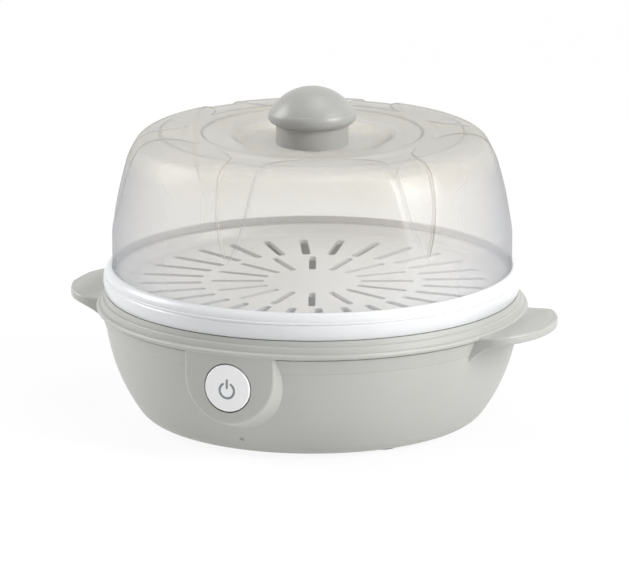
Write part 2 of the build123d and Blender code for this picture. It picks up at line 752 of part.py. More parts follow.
def heater_leads():
    """Two wires from the coil's terminals down to the top of the terminal block."""
    x = COIL_R * math.sin(math.radians(COIL_GAP_DEG))
    end_y = BLADE_END_Y + 4
    pair = []
    for side in (-1, 1):
        start = (side * x, BLADE_END_Y, COIL_Z)
        bend = (side * x, BLADE_END_Y + 8, COIL_Z)
        pair.append(wire(WIRE_R, 4, start, bend, (side * 8.5, end_y, 20), (side * 8.5, end_y, 16)))
    return Compound(pair)


def switch_lead():
    """Flat cable from the back of the small board down to the control board."""
    back = SWITCH_BOARD_FRONT - BOARD
    start_z = BUTTON_Z - LED_DROP
    end_y = BOARD_FRONT_Y + 4
    path = FilletPolyline((0, -back, start_z), (0, end_y, start_z), (0, end_y, BOARD_TOP_Z), radius=8)
    section = Plane(origin=path @ 0, x_dir=(1, 0, 0), z_dir=path % 0) * Rectangle(8.0, 1.0)
    return sweep(section, path=path)


# Steam tray: the white rim and the slotted floor lift out in one piece

TRAY_SKIRT_R = 97.0


def tray_slots():
    """Two circles of radial steam slots."""
    slots = []
    for inner, outer, half, count in ((26, 50, 1.8, 16), (58, 86, 2.2, 28)):
        slot = block(inner, outer, -half, half, 60, 75)
        slot = slot + rod(half, 60, 75, inner) + rod(half, 60, 75, outer)
        slots += around(slot, [360 * i / count for i in range(count)])
    return slots


def steam_tray():
    """Rim with a bead and a seat for the lid, a skirt inside the basin and a slotted floor."""
    under_z = COLLAR_TOP_Z + BODY_GAP
    tray = turned(
        (0, TRAY_FLOOR_Z),
        (93.5, TRAY_FLOOR_Z),
        ((95.4, 70.9), (96.4, 72.8)),
        (97.6, LID_SEAT_Z - BODY_GAP),
        (LID_R + BODY_GAP, LID_SEAT_Z - BODY_GAP),
        (LID_R + BODY_GAP, RIM_TOP_Z),
        (102.7, RIM_TOP_Z),
        ((104.6, 77.6), (105.3, 75.0)),
        ((105.9, 74.5), (105.5, 74.0)),
        (105.4, 73.6),
        (RIM_R, 72.9),
        ((105.6, 68.9), (104.2, under_z)),
        (102.2, under_z),
        (102.6, 73.0),
        (101.0, 74.0),
        (99.6, 73.0),
        (99.6, under_z),
        (TRAY_SKIRT_R, under_z),
        (TRAY_SKIRT_R, 60.5),
        (TRAY_SKIRT_R - 1.8, 60.5),
        (TRAY_SKIRT_R - 1.8, 66.0),
        (93.0, 67.8),
        (0, 67.8),
    )
    return tray - tray_slots()


# Lid: dome, knob, screw and seal

LID_LEAN = ((101.17, 99.0), (100.5, 102.7))
LID_WALL_ARC = ((100.5, 102.7), (98.0, 117.2), (94.9, 130.0))
LID_BEND_ARC = ((94.9, 130.0), (92.3, 137.5), (89.1, 143.1))
LID_SHOULDER_ARC = ((89.1, 143.1), (84.2, 146.5), (77.8, 147.5))


def lid_body(depth):
    """Solid under the dome's outer face, or under a face that lies depth inside it."""
    lean = [(r - depth, z) for r, z in LID_LEAN]
    wall = inset_arc(*LID_WALL_ARC, depth)
    bend = inset_arc(*LID_BEND_ARC, depth)
    shoulder = inset_arc(*LID_SHOULDER_ARC, depth)
    slant = 0.45 * depth
    return turned(
        (0, LID_SEAT_Z),
        (LID_R - depth, LID_SEAT_Z),
        (LID_R - depth, 94.5),
        (lean[0], wall[0]),
        (wall[1], wall[2]),
        (bend[1], bend[2]),
        (shoulder[1], shoulder[2]),
        (LID_STEP_R - slant, STEP_Z + 0.2 - depth),
        (LAND_OUTER_R + 0.9 + slant, STEP_Z - 0.2 - depth),
        (LAND_OUTER_R + slant, LAND_Z - depth),
        (LAND_INNER_R + slant, LAND_Z - depth),
        (40.2 + slant, LAND_Z - 0.8 - depth),
        (37.2 + slant, WELL_FLOOR_Z + 1.5 - depth),
        ((35.6 + slant, WELL_FLOOR_Z + 0.4 - depth), (WELL_R + slant, WELL_FLOOR_Z - depth)),
        (0, WELL_FLOOR_Z - depth),
    )


def flute_cutter():
    """One flute at the front: pointed at the bottom, flaring to the step circle on top."""
    half = FLUTE_HALF_WIDTH
    turn_z = 141.0
    tip = (0, 0, FLUTE_TIP_Z)
    side_edges = [
        ThreePointArc(tip, (5.6, 0, 115), (9.2, 0, 136)),
        Line((9.2, 0, 136), (half, 0, turn_z)),
        Line((half, 0, turn_z), (-half, 0, turn_z)),
        Line((-half, 0, turn_z), (-9.2, 0, 136)),
        ThreePointArc((-9.2, 0, 136), (-5.6, 0, 115), tip),
    ]
    side = Pos(0, -80, 0) * extrude(make_face(side_edges), amount=30, dir=(0, -1, 0))

    flare_x, flare_y = polar(FLUTE_INNER_R, FLUTE_FLARE - 90)
    centre_x = half + FLUTE_FLARE_R
    centre_y = flare_y - math.sqrt(FLUTE_FLARE_R ** 2 - (centre_x - flare_x) ** 2)
    bend_angle = (math.atan2(flare_y - centre_y, flare_x - centre_x) + math.pi) / 2
    bend_x = centre_x + FLUTE_FLARE_R * math.cos(bend_angle)
    bend_y = centre_y + FLUTE_FLARE_R * math.sin(bend_angle)
    outer_y = -100
    top_edges = [
        ThreePointArc((flare_x, flare_y), (0, -FLUTE_INNER_R), (-flare_x, flare_y)),
        ThreePointArc((-flare_x, flare_y), (-bend_x, bend_y), (-half, centre_y)),
        Line((-half, centre_y), (-half, outer_y)),
        Line((-half, outer_y), (half, outer_y)),
        Line((half, outer_y), (half, centre_y)),
        ThreePointArc((half, centre_y), (bend_x, bend_y), (flare_x, flare_y)),
    ]
    top = Pos(0, 0, turn_z) * extrude(make_face(top_edges), amount=12, dir=(0, 0, 1))
    return side + top


def lid_dome():
    """Translucent dome with a knob well, a stepped top and six tapering flutes."""
    flute = flute_cutter() - lid_body(FLUTE_DEPTH)
    outside = lid_body(0) - around(flute, [360 * i / FLUTE_COUNT for i in range(FLUTE_COUNT)])
    inside = lid_body(LID_WALL)
    return outside - inside - rod(2.0, 130, 150)


def lid_knob():
    """Mushroom knob, hollow below, with a screw boss inside."""
    stem_top_z = 152.2
    crease_z = 159.2
    dome = cap_arc(KNOB_TOP_Z, CREASE_R, crease_z + 0.1)
    knob = turned(
        (0, WELL_FLOOR_Z),
        (STEM_R, WELL_FLOOR_Z),
        (STEM_R, stem_top_z),
        ((STEM_R + 0.5, stem_top_z + 0.5), (20.4, stem_top_z + 0.7)),
        ((21.7, 154.0), (KNOB_R, 156.2)),
        ((21.9, 158.0), (21.3, crease_z)),
        (CREASE_R, crease_z + 0.1),
        (dome[0], (0, KNOB_TOP_Z)),
    )
    hollow = ring(15.5, 4.5, WELL_FLOOR_Z - 1, 160)
    return knob - hollow - rod(1.6 + SCREW_FIT, WELL_FLOOR_Z - 1, 157)


def knob_washer():
    """Silicone seal under the well floor."""
    under_z = WELL_FLOOR_Z - LID_WALL
    return ring(6.5, 1.9, under_z - 1.0, under_z)


def knob_screw():
    """Screw from inside the lid up into the knob."""
    head_z = WELL_FLOOR_Z - LID_WALL - 1.0
    return Pos(0, 0, head_z) * screw(4.0, 2.4, 1.6, 17.0)


NODES = [
    outer_housing,
    water_basin,
    heating_plate,
    plate_gasket,
    clamp_ring,
    clamp_screws,
    heat_spreader,
    heater_coil,
    heater_terminals,
    thermostat,
    thermal_fuse,
    fuse_clip,
    spreader_screws,
    bottom_cover,
    housing_screws,
    rubber_feet,
    control_board,
    board_screws,
    relay,
    power_module,
    smoothing_capacitor,
    board_connector,
    terminal_block,
    button_cap,
    power_symbol,
    button_spring,
    button_guide,
    guide_screws,
    switch_board,
    switch_board_screws,
    tact_switch,
    indicator_led,
    cord_gland,
    supply_leads,
    heater_leads,
    switch_lead,
    steam_tray,
    lid_dome,
    lid_knob,
    knob_washer,
    knob_screw,
]


os.makedirs("parts", exist_ok=True)
for make in NODES:
    export_step(make(), f"parts/{make.__name__}.step")
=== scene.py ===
"""Looks of a table-top steam sterilizer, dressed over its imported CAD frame.

Everything is in metres unless a comment says millimetres; +Z is up and the button faces -Y.
"""

import math

import bmesh
import bpy
import numpy as np
from mathutils import Matrix, Vector


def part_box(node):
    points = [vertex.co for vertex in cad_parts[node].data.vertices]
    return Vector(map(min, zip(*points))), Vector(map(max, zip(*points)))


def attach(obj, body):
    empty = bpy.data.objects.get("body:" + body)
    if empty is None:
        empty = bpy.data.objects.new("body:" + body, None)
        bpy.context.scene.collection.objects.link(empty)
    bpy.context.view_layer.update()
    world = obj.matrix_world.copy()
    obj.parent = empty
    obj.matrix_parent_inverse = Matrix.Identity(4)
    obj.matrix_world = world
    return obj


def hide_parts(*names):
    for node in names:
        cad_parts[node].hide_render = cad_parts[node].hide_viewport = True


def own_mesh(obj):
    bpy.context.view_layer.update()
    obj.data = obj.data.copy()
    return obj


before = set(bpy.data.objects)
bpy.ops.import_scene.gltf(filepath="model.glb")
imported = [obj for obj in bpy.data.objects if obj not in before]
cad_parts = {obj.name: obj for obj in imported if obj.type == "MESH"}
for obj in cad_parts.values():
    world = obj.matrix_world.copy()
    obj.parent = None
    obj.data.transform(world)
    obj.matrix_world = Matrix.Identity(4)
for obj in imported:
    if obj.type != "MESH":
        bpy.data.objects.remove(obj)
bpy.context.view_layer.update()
MM = 0.001


def linked(name, data):
    """New object in the scene that holds a mesh, a lamp or a camera."""
    item = bpy.data.objects.new(name, data)
    bpy.context.scene.collection.objects.link(item)
    return item


# Camera: a long lens, 14 degrees above the table and 23 degrees round to the right of the front

CAMERA_AZIMUTH = math.radians(22.7)
CAMERA_RISE = math.radians(14.2)
CAMERA_DISTANCE = 3.5
CAMERA_CENTRE = (0, 0, 60 * MM)
AIM_RIGHT = 1.15 * MM
AIM_UP = 6.1 * MM
FOCAL_PIXELS = 6888
PHOTO_WIDTH = 629
SENSOR_MM = 36
FAR_CLIP = 50


def place_camera():
    """Camera CAMERA_DISTANCE away from CAMERA_CENTRE, shifted a little right and up as a whole."""
    back = Vector((
        math.sin(CAMERA_AZIMUTH) * math.cos(CAMERA_RISE),
        -math.cos(CAMERA_AZIMUTH) * math.cos(CAMERA_RISE),
        math.sin(CAMERA_RISE),
    ))
    right = Vector((math.cos(CAMERA_AZIMUTH), math.sin(CAMERA_AZIMUTH), 0))
    up = back.cross(right)
    place = Vector(CAMERA_CENTRE) + right * AIM_RIGHT + up * AIM_UP + back * CAMERA_DISTANCE
    data = bpy.data.cameras.new("photo_camera")
    data.sensor_width = SENSOR_MM
    data.lens = FOCAL_PIXELS / PHOTO_WIDTH * data.sensor_width
    data.clip_end = FAR_CLIP
    camera = linked("photo_camera", data)
    axes = Matrix((right, up, back)).transposed()
    camera.matrix_world = Matrix.Translation(place) @ axes.to_4x4()
    bpy.context.scene.camera = camera


# Materials

WHITE = (1, 1, 1, 1)
BRIGHT_METAL = "#d8d9db"
# Sockets of the Mix node's two colours and of its mixed colour
COLOUR_A, COLOUR_B, COLOUR_OUT = 6, 7, 2
# Moulded plastic: strength of its grit, and how far its roughness strays with the flow patches
GRIT_STRENGTH = 0.35
SHEEN_SPREAD = 0.03
# Metal: how far its working marks polish it and dull it
MARKS_POLISH = 0.06
MARKS_DULL = 0.08
# Lid: share of haze in the wall seen square on, edge-on on the outer and inner face, and what
# a full mark adds
LID_HAZE_FLAT = 0.16
LID_HAZE_EDGE = 0.62
LID_HAZE_INNER = 0.3
LID_HAZE_BEND = 0.2
# Lid: share of the painted grey shade line at a full mark, of the haze's light that goes through,
# and of shine
LID_SHADE_LINE = 0.4
LID_THROUGH = 0.45
LID_SHINE = 0.06
LID_SKIN_ROUGH = 0.38
# Lid: a level is the height plus LEVEL_WANDER times a cloudy noise of 0 to 1. Between these levels
# the inner face turns warm and the outer face takes the painted shade of the top, a darker grey.
LEVEL_WANDER = 0.02
CLOUD_MM = 60
LID_WARM_FROM, LID_WARM_FULL = 0.09, 0.125
LID_TOP_SHADE_FROM, LID_TOP_SHADE_FULL = 0.1405, 0.1475


def linear(code):
    """An sRGB hex colour as linear RGBA."""
    parts = [int(code[i:i + 2], 16) / 255 for i in (1, 3, 5)]
    red, green, blue = (c / 12.92 if c <= 0.04045 else ((c + 0.055) / 1.055) ** 2.4 for c in parts)
    return red, green, blue, 1.0


def add(tree, kind, inputs=None, **settings):
    """Adds a node: settings are its properties, inputs its sockets' values or linked outputs.

    A socket is given by its name, or by its number where the node has several of one name.
    """
    node = tree.nodes.new(kind)
    for name, value in settings.items():
        setattr(node, name, value)
    for name, value in (inputs or {}).items():
        socket = node.inputs[name]
        if isinstance(value, bpy.types.NodeSocket):
            tree.links.new(value, socket)
        else:
            socket.default_value = value
    return node


def blank(name):
    """Empty node material with its output, its tree and the object's own coordinates."""
    material = bpy.data.materials.new(name)
    material.use_nodes = True
    tree = material.node_tree
    tree.nodes.clear()
    out = add(tree, "ShaderNodeOutputMaterial")
    place = add(tree, "ShaderNodeTexCoord").outputs["Object"]
    return material, tree, out, place


def ramp(tree, source, stops):
    """Colour ramp over a value: stops are (position, colour)."""
    node = add(tree, "ShaderNodeValToRGB", {"Fac": source})
    elements = node.color_ramp.elements
    elements[0].position, elements[0].color = stops[0]
    elements[1].position, elements[1].color = stops[-1]
    for position, colour in stops[1:-1]:
        elements.new(position).color = colour
    return node.outputs["Color"]


def moulded(name, light, dark, rough, grit_mm, relief_mm, patch_mm=45):
    """Moulded plastic: even colour with faint flow patches and the fine grit of an etched mould."""
    material, tree, out, place = blank(name)
    patches = add(tree, "ShaderNodeTexNoise", {
        "Vector": place, "Scale": 1000 / patch_mm, "Detail": 3.0})
    grit = add(tree, "ShaderNodeTexNoise", {
        "Vector": place, "Scale": 1000 / grit_mm, "Detail": 2.0})
    colour = ramp(tree, patches.outputs["Fac"], ((0.35, linear(dark)), (0.65, linear(light))))
    sheen = add(tree, "ShaderNodeMapRange", {
        "Value": patches.outputs["Fac"], "To Min": rough - SHEEN_SPREAD,
        "To Max": rough + SHEEN_SPREAD})
    bump = add(tree, "ShaderNodeBump", {
        "Height": grit.outputs["Fac"], "Strength": GRIT_STRENGTH, "Distance": relief_mm * MM})
    skin = add(tree, "ShaderNodeBsdfPrincipled", {
        "Base Color": colour, "Roughness": sheen.outputs["Result"],
        "Normal": bump.outputs["Normal"], "IOR": 1.5})
    tree.links.new(skin.outputs["BSDF"], out.inputs["Surface"])
    return material


def frosted_polypropylene():
    """Clear body with a milky haze that scatters light through the wall, under a faint satin skin.

    The mesh marks the wall's bends and the flutes' edges (dense) and the inner face (inside). The
    haze thickens edge-on and at the marks. The outer face greys edge-on, has painted shade on top,
    a darker grey, and a painted grey line of shade at each mark; the inner face is warm high up and
    cool edge-on.
    """
    material, tree, out, place = blank("frosted_polypropylene")
    edge = add(tree, "ShaderNodeLayerWeight", {"Blend": 0.5})
    dense = add(tree, "ShaderNodeAttribute", attribute_name="dense")
    inside = add(tree, "ShaderNodeAttribute", attribute_name="inside")
    height = add(tree, "ShaderNodeSeparateXYZ", {"Vector": place})
    clouds = add(tree, "ShaderNodeTexNoise", {
        "Vector": place, "Scale": 1000 / CLOUD_MM, "Detail": 2.0})
    level = add(tree, "ShaderNodeMath", {
        0: clouds.outputs["Fac"], 1: LEVEL_WANDER, 2: height.outputs["Z"]},
        operation="MULTIPLY_ADD")

    wall = ramp(tree, edge.outputs["Facing"], ((0.25, linear("#dfe0e4")), (0.8, linear("#a6a7ab"))))
    # Painted shade: above these levels the outer face turns a darker grey, darkest edge-on.
    top = add(tree, "ShaderNodeMapRange", {
        "Value": level.outputs["Value"], "From Min": LID_TOP_SHADE_FROM, "From Max": LID_TOP_SHADE_FULL})
    top_painted_shade = ramp(tree, edge.outputs["Facing"], (
        (0.75, linear("#c6c4be")), (1.0, linear("#969592"))))
    even = add(tree, "ShaderNodeMix", {
        "Factor": top.outputs["Result"], COLOUR_A: wall, COLOUR_B: top_painted_shade}, data_type="RGBA")
    # Painted shade: a grey line darkens the outer face along each bend and flute edge.
    line = add(tree, "ShaderNodeMath", {0: dense.outputs["Fac"], 1: LID_SHADE_LINE}, operation="MULTIPLY")
    outer = add(tree, "ShaderNodeMix", {
        "Factor": line.outputs["Value"], COLOUR_A: even.outputs[COLOUR_OUT],
        COLOUR_B: linear("#82817d")}, data_type="RGBA")

    high = add(tree, "ShaderNodeMapRange", {
        "Value": level.outputs["Value"], "From Min": LID_WARM_FROM, "From Max": LID_WARM_FULL})
    warm = ramp(tree, high.outputs["Result"], ((0.0, linear("#eaebf0")), (1.0, linear("#f3e4ca"))))
    grazing = add(tree, "ShaderNodeMapRange", {
        "Value": edge.outputs["Facing"], "From Min": 0.25, "From Max": 0.75})
    inner = add(tree, "ShaderNodeMix", {
        "Factor": grazing.outputs["Result"], COLOUR_A: warm,
        COLOUR_B: linear("#cdced4")}, data_type="RGBA")
    tint = add(tree, "ShaderNodeMix", {
        "Factor": inside.outputs["Fac"], COLOUR_A: outer.outputs[COLOUR_OUT],
        COLOUR_B: inner.outputs[COLOUR_OUT]}, data_type="RGBA")

    rim = add(tree, "ShaderNodeMapRange", {
        "Value": inside.outputs["Fac"], "To Min": LID_HAZE_EDGE, "To Max": LID_HAZE_INNER})
    haze = add(tree, "ShaderNodeMapRange", {
        "Value": edge.outputs["Facing"], "To Min": LID_HAZE_FLAT,
        "To Max": rim.outputs["Result"]})
    bent = add(tree, "ShaderNodeMath", {
        0: dense.outputs["Fac"], 1: LID_HAZE_BEND, 2: haze.outputs["Result"]},
        operation="MULTIPLY_ADD", use_clamp=True)
    skin = add(tree, "ShaderNodeBsdfDiffuse", {"Color": tint.outputs[COLOUR_OUT]})
    through = add(tree, "ShaderNodeBsdfTranslucent", {"Color": tint.outputs[COLOUR_OUT]})
    milk = add(tree, "ShaderNodeMixShader", {
        0: LID_THROUGH, 1: skin.outputs["BSDF"], 2: through.outputs["BSDF"]})
    clear = add(tree, "ShaderNodeBsdfTransparent", {"Color": linear("#fefefd")})
    body = add(tree, "ShaderNodeMixShader", {
        0: bent.outputs["Value"], 1: clear.outputs["BSDF"], 2: milk.outputs["Shader"]})
    shine = add(tree, "ShaderNodeMath", {0: edge.outputs["Fresnel"], 1: LID_SHINE},
                operation="MULTIPLY")
    gloss = add(tree, "ShaderNodeBsdfGlossy", {"Color": WHITE, "Roughness": LID_SKIN_ROUGH})
    coated = add(tree, "ShaderNodeMixShader", {
        0: shine.outputs["Value"], 1: body.outputs["Shader"], 2: gloss.outputs["BSDF"]})
    tree.links.new(coated.outputs["Shader"], out.inputs["Surface"])
    return material


def metal(name, tint, rough, streak_mm, across=(1, 1, 1)):
    """Bright metal with faint working marks; a small number in across draws them out that way."""
    material, tree, out, place = blank(name)
    stretch = add(tree, "ShaderNodeMapping", {"Vector": place, "Scale": across})
    marks = add(tree, "ShaderNodeTexNoise", {
        "Vector": stretch.outputs["Vector"], "Scale": 1000 / streak_mm, "Detail": 4.0})
    gloss = add(tree, "ShaderNodeMapRange", {
        "Value": marks.outputs["Fac"], "To Min": rough - MARKS_POLISH,
        "To Max": rough + MARKS_DULL})
    colour = ramp(tree, marks.outputs["Fac"], ((0.3, linear(tint)), (0.7, linear(BRIGHT_METAL))))
    skin = add(tree, "ShaderNodeBsdfPrincipled", {
        "Base Color": colour, "Metallic": 1.0, "Roughness": gloss.outputs["Result"]})
    tree.links.new(skin.outputs["BSDF"], out.inputs["Surface"])
    return material


def dress(material, *nodes):
    """Gives CAD nodes a material."""
    for name in nodes:
        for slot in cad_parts[name].material_slots:
            slot.material = material


# Floor and light

FLOOR_HALF = 6.0
# Share of plain white in the floor: for the light on matt skins, then as seen close by and far off
FLOOR_FILL = 0.25
FLOOR_NEAR, FLOOR_FAR = 0.9, 1.0
FLOOR_FADE_FROM, FLOOR_FADE_FULL = 0.35, 1.2
# Strength of the room's white: for the light on matt skins, then as seen
ROOM_FILL, ROOM_SEEN = 0.34, 1.0
LAMP_AIM = (0, 0, 0.08)
# Soft boxes: name, place, width and height, watts
LAMPS = (
    ("box_right", (1.5, -0.15, 0.9), (0.8, 0.9), 26),
    ("box_left", (-1.5, -0.15, 0.9), (0.8, 0.9), 19),
    ("box_above", (0.3, 0.1, 1.6), (1.0, 0.7), 7),
)


def seen_white(tree):
    """1 for rays that the eye follows, straight, through or mirrored; 0 for light on matt skins."""
    path = add(tree, "ShaderNodeLightPath")
    direct = add(tree, "ShaderNodeMath", {
        0: path.outputs["Is Camera Ray"], 1: path.outputs["Is Transmission Ray"]},
        operation="MAXIMUM")
    return add(tree, "ShaderNodeMath", {
        0: direct.outputs["Value"], 1: path.outputs["Is Glossy Ray"]}, operation="MAXIMUM")


def add_floor():
    """Wide flat floor that is seen as nearly white, and as white from FLOOR_FADE_FULL on."""
    corners = [(x * FLOOR_HALF, y * FLOOR_HALF, 0) for x, y in ((-1, -1), (1, -1), (1, 1), (-1, 1))]
    mesh = bpy.data.meshes.new("floor")
    mesh.from_pydata(corners, [], [(0, 1, 2, 3)])
    floor = linked("floor", mesh)
    material, tree, out, place = blank("white_sweep")
    matt = add(tree, "ShaderNodeBsdfDiffuse", {"Color": linear("#fafafa")})
    glow = add(tree, "ShaderNodeEmission", {"Color": WHITE, "Strength": 1.0})
    away = add(tree, "ShaderNodeVectorMath", {"Vector": place}, operation="LENGTH")
    white = add(tree, "ShaderNodeMapRange", {
        "Value": away.outputs["Value"], "From Min": FLOOR_FADE_FROM, "From Max": FLOOR_FADE_FULL,
        "To Min": FLOOR_NEAR, "To Max": FLOOR_FAR})
    share = add(tree, "ShaderNodeMapRange", {
        "Value": seen_white(tree).outputs["Value"], "To Min": FLOOR_FILL,
        "To Max": white.outputs["Result"]})
    mix = add(tree, "ShaderNodeMixShader", {
        0: share.outputs["Result"], 1: matt.outputs["BSDF"], 2: glow.outputs["Emission"]})
    tree.links.new(mix.outputs["Shader"], out.inputs["Surface"])
    mesh.materials.append(material)


def add_light():
    """Tall soft boxes on both sides, the right one stronger, one overhead, and a white room."""
    for name, place, size, watts in LAMPS:
        data = bpy.data.lights.new(name, "AREA")
        data.shape = "RECTANGLE"
        data.size, data.size_y = size
        data.energy = watts
        lamp = linked(name, data)
        lamp.location = place
        aim = Vector(LAMP_AIM) - Vector(place)
        lamp.rotation_euler = aim.to_track_quat("-Z", "Y").to_euler()
    world = bpy.data.worlds.new("white_room")
    bpy.context.scene.world = world
    world.use_nodes = True
    tree = world.node_tree
    tree.nodes.clear()
    out = add(tree, "ShaderNodeOutputWorld")
    strength = add(tree, "ShaderNodeMapRange", {
        "Value": seen_white(tree).outputs["Value"], "To Min": ROOM_FILL, "To Max": ROOM_SEEN})
    sky = add(tree, "ShaderNodeBackground", {
        "Color": WHITE, "Strength": strength.outputs["Result"]})
    tree.links.new(sky.outputs["Background"], out.inputs["Surface"])


# Shapes: lines are arrays of points in millimetres, every STEP_MM along

STEP_MM = 0.1
# Points of a mesh closer than this, in metres, become one
MERGE_DISTANCE = 1e-7
# A bend's mark: the width it is gathered over in millimetres, and the turns in radians that count
# as no bend and as a full one
BEND_BELL = 0.55
BEND_FROM = 0.25
BEND_FULL = 0.7


def eased(x):
    """Smooth step from 0 to 1: x squared times (3 - 2 x)."""
    return x * x * (3 - 2 * x)


def bell(width_mm):
    """Bell curve every STEP_MM, out to three widths on both sides, 1 in the middle."""
    reach = int(3 * width_mm / STEP_MM)
    return np.exp(-0.5 * (np.arange(-reach, reach + 1) * STEP_MM / width_mm) ** 2)


def arc_points(first, through, last):
    """Points every STEP_MM on the circle through three points, the shorter way round.

    The centre is where the perpendicular bisectors of two of their chords meet.
    """
    (ax, ay), (bx, by), (cx, cy) = first, through, last
    spread = 2 * (ax * (by - cy) + bx * (cy - ay) + cx * (ay - by))
    a2, b2, c2 = ax * ax + ay * ay, bx * bx + by * by, cx * cx + cy * cy
    mx = (a2 * (by - cy) + b2 * (cy - ay) + c2 * (ay - by)) / spread
    my = (a2 * (cx - bx) + b2 * (ax - cx) + c2 * (bx - ax)) / spread
    radius = math.hypot(ax - mx, ay - my)
    start = math.atan2(ay - my, ax - mx)
    turn = (math.atan2(cy - my, cx - mx) - start + math.pi) % (2 * math.pi) - math.pi
    angle = start + turn * np.linspace(0, 1, max(2, int(abs(turn) * radius / STEP_MM)))
    return np.stack([mx + radius * np.cos(angle), my + radius * np.sin(angle)], -1)


def section(start, *steps):
    """Line of (radius, height) points: a step is a point, or (through, end) for an arc."""
    runs = []
    here = start
    for step in steps:
        if isinstance(step[0], tuple):
            through, end = step
            runs.append(arc_points(here, through, end))
        else:
            end = step
            count = max(2, int(math.dist(here, end) / STEP_MM))
            runs.append(np.linspace(here, end, count))
        here = end
    return np.concatenate([run[1:] if i else run for i, run in enumerate(runs)])


def evened(points):
    """The same line with points every STEP_MM of its length."""
    length = np.concatenate([[0], np.cumsum(np.hypot(*np.diff(points, axis=0).T))])
    at = np.linspace(0, length[-1], int(length[-1] / STEP_MM))
    return np.stack([np.interp(at, length, points[:, k]) for k in (0, 1)], -1)


def softened(points, bell_mm):
    """Each point becomes the bell-weighted mean of its neighbours, so corners turn round.

    The ends stay where they are: beyond each the line goes on as itself turned half round.
    """
    weights = bell(bell_mm)
    weights /= weights.sum()
    reach = len(weights) // 2
    head = 2 * points[0] - points[reach:0:-1]
    tail = 2 * points[-1] - points[-2:-reach - 2:-1]
    padded = np.concatenate([head, points, tail])
    return np.stack([np.convolve(padded[:, k], weights, "valid") for k in (0, 1)], -1)


def outward(points):
    """Unit normals on the left of the line's direction."""
    run = np.gradient(points, axis=0)
    run /= np.hypot(*run.T)[:, None]
    return np.stack([-run[:, 1], run[:, 0]], -1)


def bend_of(points):
    """How far a line turns within about a millimetre of each point, 0 to 1.

    Bell-weighted sum of its turning angle, counted from BEND_FROM to BEND_FULL.
    """
    run = np.gradient(points, STEP_MM, axis=0)
    turn = np.abs(np.gradient(np.unwrap(np.arctan2(run[:, 1], run[:, 0]))))
    angle = np.convolve(turn, bell(BEND_BELL), "same")
    return np.clip((angle - BEND_FROM) / (BEND_FULL - BEND_FROM), 0, 1)


def thinned(points, count, bend_deg, gap_mm):
    """Indices of up to count points, closer together where the line bends.

    They are even in a weight that grows by length over gap_mm plus turn over bend_deg.
    """
    run = np.diff(points, axis=0)
    heading = np.unwrap(np.arctan2(run[:, 1], run[:, 0]))
    turn = np.abs(np.diff(heading, prepend=heading[0]))
    weight = np.hypot(*run.T) / gap_mm + np.degrees(turn) / bend_deg
    total = np.concatenate([[0], np.cumsum(weight)])
    chosen = np.searchsorted(total, np.linspace(0, total[-1], count))
    return np.unique(chosen.clip(0, len(points) - 1))


def surface(name, points, body, material, closed_rows=True, marks=None):
    """Mesh of a grid of points (rows, columns, 3) in metres, its faces outward, riding on a body.

    Columns close round, and rows too if asked. The faces are turned over if the volume they
    enclose, summed over their triangles' corners as a . (b x c), comes out negative. Marks are
    named grids of one number a point, kept as mesh attributes for the material.
    """
    rows, columns = points.shape[:2]
    index = np.arange(rows * columns).reshape(rows, columns)
    index = np.hstack([index, index[:, :1]])
    if closed_rows:
        index = np.vstack([index, index[:1]])
    corners = [index[:-1, :-1], index[:-1, 1:], index[1:, 1:], index[1:, :-1]]
    quads = np.stack(corners, -1).reshape(-1, 4)
    flat = points.reshape(-1, 3)
    a, b, c, d = (flat[quads[:, k]] for k in range(4))
    volume = np.einsum("ij,ij->", a, np.cross(b, c)) + np.einsum("ij,ij->", a, np.cross(c, d))
    if volume < 0:
        quads = quads[:, ::-1]
    mesh = bpy.data.meshes.new(name)
    mesh.from_pydata(flat.tolist(), [], quads.tolist())
    for mark, values in (marks or {}).items():
        mesh.attributes.new(mark, "FLOAT", "POINT").data.foreach_set("value", values.ravel())
    work = bmesh.new()
    work.from_mesh(mesh)
    bmesh.ops.remove_doubles(work, verts=work.verts, dist=MERGE_DISTANCE)
    work.to_mesh(mesh)
    work.free()
    mesh.polygons.foreach_set("use_smooth", [True] * len(mesh.polygons))
    mesh.materials.append(material)
    piece = linked(name, mesh)
    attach(piece, body)
    return piece


# Lid: fluted dome, in millimetres

WELL_FLOOR = 142.0
LAND = 147.0
LID_WALL = 2.0
LID_TURN = math.radians(-2.4)
# Outer half-section from the screw's hole to the seat: a pair is a point, two pairs are an arc
LID_SECTION = (
    (2.0, WELL_FLOOR), (33.5, WELL_FLOOR), ((35.6, 142.4), (37.2, 143.5)), (40.2, 146.2),
    (42.2, LAND), (55.4, LAND), (56.3, 147.8), (76.6, 148.2), (77.8, 147.5),
    ((84.2, 146.5), (89.1, 143.1)), ((92.3, 137.5), (94.9, 130.0)),
    ((98.0, 117.2), (100.5, 102.7)), ((101.17, 99.0), (101.4, 94.5)), (101.4, 76.0),
)
OUTER_BELL = 0.3
INNER_BELL = 0.9
# Rows on each face: their number, then the turn in degrees and the gap that weigh the same
OUTER_ROWS = (190, 5.0, 2.2)
INNER_ROWS = (90, 8.0, 3.5)
# Columns across a flute's floor, one of its edges and the land between two flutes
FLOOR_COLUMNS = 12
EDGE_COLUMNS = 6
LAND_COLUMNS = 18
# Flutes: number, depth, heights of the tip and of the turn from wall to top, half width from the
# turn on, the wall's widening, and the flare at the inner end
FLUTES = 6
FLUTE_DEPTH = 0.9
FLUTE_TIP = 101.0
FLUTE_TURN = 141.0
FLUTE_HALF = 9.8
FLUTE_SIDE_ARC = ((0.0, FLUTE_TIP), (5.6, 115.0), (9.2, 136.0))
FLUTE_END_R = 64.4
FLARE_DEG = 20.0
FLARE_R = 20.5
FLARE_POINTS = 60
# Half an edge's width, the half width at which a flute reaches its full depth, and the least half
# width that keeps the columns apart below the tip
EDGE_HALF = 0.45
FULL_DEPTH_HALF = 2.0
LEAST_HALF = 0.25
# A height above the lid's top, and the dense mark in the middle of a flute's edge
ABOVE_LID = 160.0
RIDGE_MARK = 1.6


